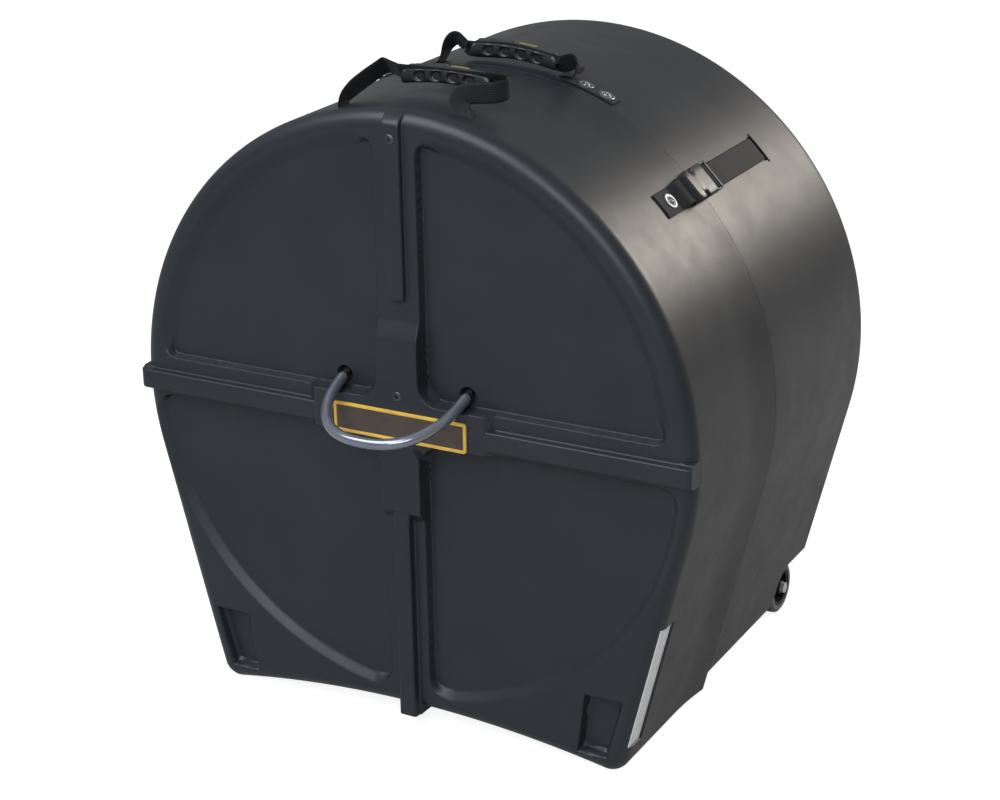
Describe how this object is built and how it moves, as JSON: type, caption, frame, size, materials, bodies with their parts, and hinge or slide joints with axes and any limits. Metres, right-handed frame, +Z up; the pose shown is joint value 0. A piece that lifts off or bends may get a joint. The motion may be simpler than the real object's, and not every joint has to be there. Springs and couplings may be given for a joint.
{
  "type": "bass drum case",
  "caption": "Hard moulded two-part case on wheels for carrying a bass drum, with buckled straps, webbing handles and a tow handle.",
  "frame": {"origin": "on the ground below the middle of the case's closed length and width", "axes": "+Z up, +X to the right seen from the front face, +Y from the front face towards the wheels"},
  "size_m": [0.6808, 0.5652, 0.7307],
  "materials": {
    "shell": "black rotationally moulded polyethylene with a fine grain and a soft sheen",
    "badge_border": "amber enamel border",
    "badge_field": "dark brown blank field",
    "plated_steel": "bright zinc-plated steel",
    "axle_steel": "drawn steel rod",
    "anchor_plastic": "black nylon",
    "reflector": "white reflective tape",
    "grip_plastic": "black moulded grip",
    "grip_pad": "dark grey soft pad",
    "webbing": "black woven polypropylene webbing",
    "buckle_plastic": "black acetal",
    "rope": "black braided rope",
    "tow_tube": "steel-grey glossy tube",
    "tyre_rubber": "grey wheel rubber",
    "hub_plastic": "black moulded spoked hub"
  },
  "bodies": {
    "front_half": {"front_shell": "shell", "badge_plate": "badge_border", "badge_field": "badge_field", "face_screws": "plated_steel", "reflector_right": "reflector", "reflector_left": "reflector", "front_handle_anchors": "anchor_plastic", "strap_tab_right": "webbing", "strap_tab_left": "webbing", "tab_rivets": "plated_steel", "buckle_socket_right": "buckle_plastic", "buckle_socket_left": "buckle_plastic", "tow_rope_knots": "rope"},
    "tow_handle": {"tow_rope": "rope", "tow_sleeve": "tow_tube"},
    "front_handle": {"front_handle_grip": "grip_plastic", "front_handle_webbing": "webbing", "front_grip_inlay": "grip_pad"},
    "rear_half": {"rear_shell": "shell", "rear_handle_tabs": "webbing", "rear_tab_rivets": "plated_steel", "strap_right": "webbing", "strap_left": "webbing", "buckle_prong_right": "buckle_plastic", "buckle_prong_left": "buckle_plastic", "strap_keeper_bars": "anchor_plastic", "axle_right": "axle_steel", "axle_left": "axle_steel", "axle_nuts": "plated_steel", "axle_caps": "plated_steel"},
    "rear_handle": {"rear_handle_grip": "grip_plastic", "rear_handle_webbing": "webbing", "rear_grip_inlay": "grip_pad"},
    "wheel_right": {"wheel_tyre_right": "tyre_rubber", "wheel_hub_right": "hub_plastic"},
    "wheel_left": {"wheel_tyre_left": "tyre_rubber", "wheel_hub_left": "hub_plastic"}
  },
  "joints": [
    {"name": "rear_half_slide", "type": "slide", "parent": "front_half", "child": "rear_half", "axis": [0, 1, 0], "range_m": [0, 0.17]},
    {"name": "tow_handle_swing", "type": "hinge", "parent": "front_half", "child": "tow_handle", "pos_m": [0, -0.18736, 0.4], "axis": [-1, 0, 0], "range_deg": [-8, 88]},
    {"name": "front_handle_lift", "type": "slide", "parent": "front_half", "child": "front_handle", "axis": [0, 0, 1], "range_m": [0, 0.025], "deforming": ["front_handle_webbing"]},
    {"name": "rear_handle_lift", "type": "slide", "parent": "rear_half", "child": "rear_handle", "axis": [0, 0, 1], "range_m": [0, 0.025], "deforming": ["rear_handle_webbing"]},
    {"name": "wheel_right_spin", "type": "hinge", "parent": "rear_half", "child": "wheel_right", "pos_m": [0.245, 0.25014, 0.0325], "axis": [1, 0, 0], "continuous": true},
    {"name": "wheel_left_spin", "type": "hinge", "parent": "rear_half", "child": "wheel_left", "pos_m": [-0.245, 0.25014, 0.0325], "axis": [1, 0, 0], "continuous": true}
  ]
}
